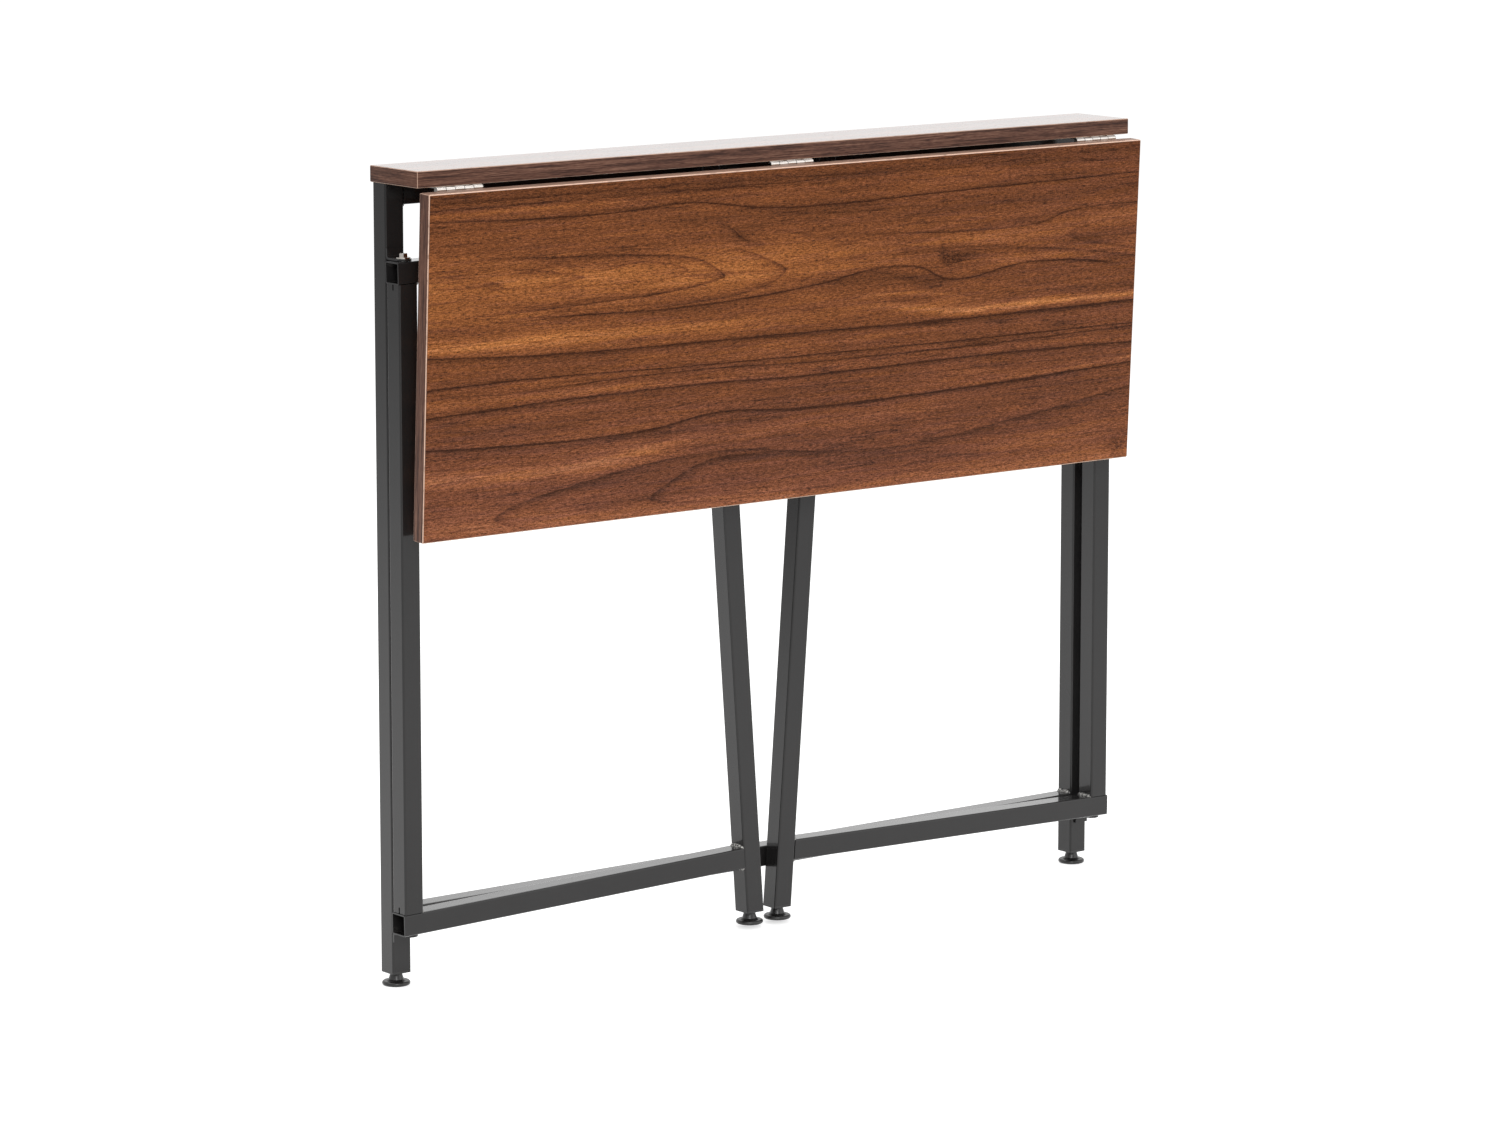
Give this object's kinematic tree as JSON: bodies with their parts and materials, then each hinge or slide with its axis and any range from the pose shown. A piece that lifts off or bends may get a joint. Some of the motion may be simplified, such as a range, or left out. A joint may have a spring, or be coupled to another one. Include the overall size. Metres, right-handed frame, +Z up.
{
  "type": "folding computer desk",
  "caption": "Folding desk: a narrow fixed top on a square-tube frame, a drop leaf on butt hinges, and swinging gate legs that fold flat behind the leaf.",
  "frame": {"origin": "on the floor under the middle of the folded desk's bounding box", "axes": "+X along the desk to the right as seen from the front, +Y towards the back, +Z up"},
  "size_m": [0.8486, 0.0934, 0.75],
  "materials": {
    "walnut_board": "walnut laminate, satin gloss",
    "board_edging": "brown edging strip, satin",
    "frame_paint": "anthracite powder coat, semi-gloss",
    "zinc_steel": "bright zinc plating",
    "black_plastic": "black moulded plastic, satin"
  },
  "bodies": {
    "rear_frame": {"fixed_top_board": "walnut_board", "fixed_top_edging": "board_edging", "top_fixing_screws": "zinc_steel", "rear_post_left": "frame_paint", "rear_post_right": "frame_paint", "rear_top_rail": "frame_paint", "rear_bottom_rail": "frame_paint", "rear_plug_left": "black_plastic", "rear_plug_right": "black_plastic", "hinge_top_plate_left": "zinc_steel", "hinge_top_plate_middle": "zinc_steel", "hinge_top_plate_right": "zinc_steel", "hinge_pin_left": "zinc_steel", "hinge_pin_middle": "zinc_steel", "hinge_pin_right": "zinc_steel", "hinge_top_screws": "zinc_steel", "upper_bracket_left": "frame_paint", "upper_bracket_right": "frame_paint", "lower_bracket_left": "frame_paint", "lower_bracket_right": "frame_paint", "upper_bolt_left": "zinc_steel", "upper_bolt_right": "zinc_steel", "lower_rivet_left": "zinc_steel", "lower_rivet_right": "zinc_steel", "pivot_nuts": "zinc_steel", "pivot_washers": "zinc_steel"},
    "leaf": {"leaf_board": "walnut_board", "leaf_edging": "board_edging", "hinge_leaf_plate_left": "zinc_steel", "hinge_leaf_plate_middle": "zinc_steel", "hinge_leaf_plate_right": "zinc_steel", "hinge_leaf_screws": "zinc_steel"},
    "gate_left": {"gate_stile_left": "frame_paint", "gate_top_rail_left": "frame_paint", "gate_bottom_rail_left": "frame_paint", "gate_leg_left": "frame_paint", "gate_leg_cap_left": "black_plastic", "gate_leg_plug_left": "black_plastic"},
    "gate_right": {"gate_stile_right": "frame_paint", "gate_top_rail_right": "frame_paint", "gate_bottom_rail_right": "frame_paint", "gate_leg_right": "frame_paint", "gate_leg_cap_right": "black_plastic", "gate_leg_plug_right": "black_plastic"},
    "rear_foot_left": {"rear_foot_left": "black_plastic", "rear_stem_left": "zinc_steel"},
    "rear_foot_right": {"rear_foot_right": "black_plastic", "rear_stem_right": "zinc_steel"},
    "gate_foot_left": {"gate_foot_left": "black_plastic", "gate_stem_left": "zinc_steel"},
    "gate_foot_right": {"gate_foot_right": "black_plastic", "gate_stem_right": "zinc_steel"}
  },
  "joints": [
    {"name": "leaf_hinge", "type": "hinge", "parent": "rear_frame", "child": "leaf", "pos_m": [0, -0.02913, 0.7324], "axis": [-1, 0, 0], "range_deg": [0, 92.8]},
    {"name": "gate_pivot_left", "type": "hinge", "parent": "rear_frame", "child": "gate_left", "pos_m": [-0.4115, 0.00717, 0.4], "axis": [0, 0, -1], "range_deg": [-0.2, 2.7]},
    {"name": "gate_pivot_right", "type": "hinge", "parent": "rear_frame", "child": "gate_right", "pos_m": [0.4115, 0.00717, 0.4], "axis": [0, 0, 1], "range_deg": [-0.2, 2.7]},
    {"name": "rear_foot_left_turn", "type": "hinge", "parent": "rear_frame", "child": "rear_foot_left", "pos_m": [-0.409, 0.03367, 0.01], "axis": [0, 0, 1], "continuous": true},
    {"name": "rear_foot_right_turn", "type": "hinge", "parent": "rear_frame", "child": "rear_foot_right", "pos_m": [0.409, 0.03367, 0.01], "axis": [0, 0, 1], "continuous": true},
    {"name": "gate_foot_left_turn", "type": "hinge", "parent": "gate_left", "child": "gate_foot_left", "pos_m": [-0.01678, 0.01199, 0.01], "axis": [0, 0, 1], "continuous": true},
    {"name": "gate_foot_right_turn", "type": "hinge", "parent": "gate_right", "child": "gate_foot_right", "pos_m": [0.01678, 0.01199, 0.01], "axis": [0, 0, 1], "continuous": true}
  ]
}
